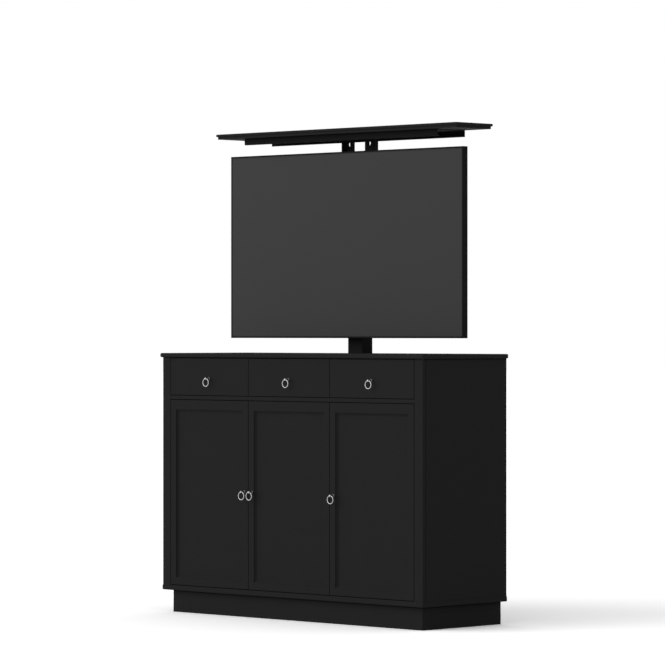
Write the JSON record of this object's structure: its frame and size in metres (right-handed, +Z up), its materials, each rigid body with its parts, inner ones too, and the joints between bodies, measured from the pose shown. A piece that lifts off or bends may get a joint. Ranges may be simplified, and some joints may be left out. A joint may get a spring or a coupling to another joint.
{
  "type": "tv lift cabinet",
  "caption": "Black free-standing media cabinet with drawers, panelled doors and ring pulls; a motorised column lifts a flat television and a lid out of a slot in the top.",
  "frame": {"origin": "on the floor, under the middle of the whole object's box", "axes": "+X along the front from left to right, +Y from the front to the back, +Z up"},
  "size_m": [1.28, 0.4312, 1.6916],
  "materials": {
    "black_lacquer": "satin black lacquer on board",
    "inner_board": "matt black board, as inside the cabinet",
    "black_steel": "fine textured black powder coat",
    "zinc_steel": "bright zinc plate",
    "satin_nickel": "satin nickel plate",
    "black_plastic": "matt moulded black plastic",
    "screen_glass": "matt anti-glare television screen, switched off"
  },
  "bodies": {
    "cabinet": {"plinth_front": "black_lacquer", "plinth_back": "black_lacquer", "plinth_sides": "black_lacquer", "bottom_board": "black_lacquer", "left_side_panel": "black_lacquer", "right_side_panel": "black_lacquer", "left_stile": "black_lacquer", "right_stile": "black_lacquer", "mid_rail": "black_lacquer", "dust_board": "inner_board", "drawer_dividers": "inner_board", "door_divider": "inner_board", "bay_partition": "inner_board", "shelves": "inner_board", "shelf_pins": "zinc_steel", "back_panel": "inner_board", "top_board": "black_lacquer", "drawer_runners": "inner_board", "hinge_arms": "zinc_steel", "lift_outer_column": "black_steel", "lift_base_screws": "zinc_steel", "lift_spindle": "zinc_steel", "lift_motor": "black_steel", "control_box": "black_plastic"},
    "lift_middle_stage": {"lift_middle_column": "black_steel"},
    "lift_carriage": {"lift_inner_column": "black_steel", "head_bracket": "black_steel", "left_lid_post": "black_steel", "right_lid_post": "black_steel", "tv_rails": "black_steel", "tv_rail_screws": "zinc_steel", "tv_back_cover": "black_plastic", "tv_bezel": "black_plastic", "tv_screen": "screen_glass", "lid_tray": "black_steel", "lid_board": "black_lacquer"},
    "left_drawer": {"left_drawer_front": "black_lacquer", "left_drawer_box": "inner_board", "left_drawer_pull": "satin_nickel"},
    "left_drawer_ring": {"left_drawer_ring": "satin_nickel"},
    "left_door": {"left_door_leaf": "black_lacquer", "left_door_hinge_cups": "zinc_steel", "left_door_pull": "satin_nickel"},
    "left_door_ring": {"left_door_ring": "satin_nickel"},
    "middle_drawer": {"middle_drawer_front": "black_lacquer", "middle_drawer_box": "inner_board", "middle_drawer_pull": "satin_nickel"},
    "middle_drawer_ring": {"middle_drawer_ring": "satin_nickel"},
    "middle_door": {"middle_door_leaf": "black_lacquer", "middle_door_hinge_cups": "zinc_steel", "middle_door_pull": "satin_nickel"},
    "middle_door_ring": {"middle_door_ring": "satin_nickel"},
    "right_drawer": {"right_drawer_front": "black_lacquer", "right_drawer_box": "inner_board", "right_drawer_pull": "satin_nickel"},
    "right_drawer_ring": {"right_drawer_ring": "satin_nickel"},
    "right_door": {"right_door_leaf": "black_lacquer", "right_door_hinge_cups": "zinc_steel", "right_door_pull": "satin_nickel"},
    "right_door_ring": {"right_door_ring": "satin_nickel"}
  },
  "joints": [
    {"name": "lift_slide", "type": "slide", "parent": "cabinet", "child": "lift_carriage", "axis": [0, 0, 1], "range_m": [-0.769, 0]},
    {"name": "lift_stage_slide", "type": "slide", "parent": "cabinet", "child": "lift_middle_stage", "axis": [0, 0, 1], "range_m": [-0.3846, 0]},
    {"name": "left_drawer_slide", "type": "slide", "parent": "cabinet", "child": "left_drawer", "axis": [0, -1, 0], "range_m": [0, 0.13]},
    {"name": "left_door_hinge", "type": "hinge", "parent": "cabinet", "child": "left_door", "pos_m": [-0.591, -0.19537, 0.424], "axis": [0, 0, -1], "range_deg": [0, 105]},
    {"name": "left_drawer_ring_swing", "type": "hinge", "parent": "left_drawer", "child": "left_drawer_ring", "pos_m": [-0.39533, -0.21088, 0.8255], "axis": [-1, 0, 0], "range_deg": [-25, 150]},
    {"name": "left_door_ring_swing", "type": "hinge", "parent": "left_door", "child": "left_door_ring", "pos_m": [-0.21667, -0.21088, 0.4355], "axis": [-1, 0, 0], "range_deg": [-25, 150]},
    {"name": "middle_drawer_slide", "type": "slide", "parent": "cabinet", "child": "middle_drawer", "axis": [0, -1, 0], "range_m": [0, 0.13]},
    {"name": "middle_door_hinge", "type": "hinge", "parent": "cabinet", "child": "middle_door", "pos_m": [0.19667, -0.19537, 0.424], "axis": [0, 0, 1], "range_deg": [0, 95]},
    {"name": "middle_drawer_ring_swing", "type": "hinge", "parent": "middle_drawer", "child": "middle_drawer_ring", "pos_m": [0, -0.21088, 0.8255], "axis": [-1, 0, 0], "range_deg": [-25, 150]},
    {"name": "middle_door_ring_swing", "type": "hinge", "parent": "middle_door", "child": "middle_door_ring", "pos_m": [-0.17867, -0.21088, 0.4355], "axis": [-1, 0, 0], "range_deg": [-25, 150]},
    {"name": "right_drawer_slide", "type": "slide", "parent": "cabinet", "child": "right_drawer", "axis": [0, -1, 0], "range_m": [0, 0.13]},
    {"name": "right_door_hinge", "type": "hinge", "parent": "cabinet", "child": "right_door", "pos_m": [0.591, -0.19537, 0.424], "axis": [0, 0, 1], "range_deg": [0, 105]},
    {"name": "right_drawer_ring_swing", "type": "hinge", "parent": "right_drawer", "child": "right_drawer_ring", "pos_m": [0.39533, -0.21088, 0.8255], "axis": [-1, 0, 0], "range_deg": [-25, 150]},
    {"name": "right_door_ring_swing", "type": "hinge", "parent": "right_door", "child": "right_door_ring", "pos_m": [0.21667, -0.21088, 0.4355], "axis": [-1, 0, 0], "range_deg": [-25, 150]}
  ],
  "couplings": [
    {"joint": "lift_stage_slide", "follows": "lift_slide", "ratio": 0.5}
  ]
}
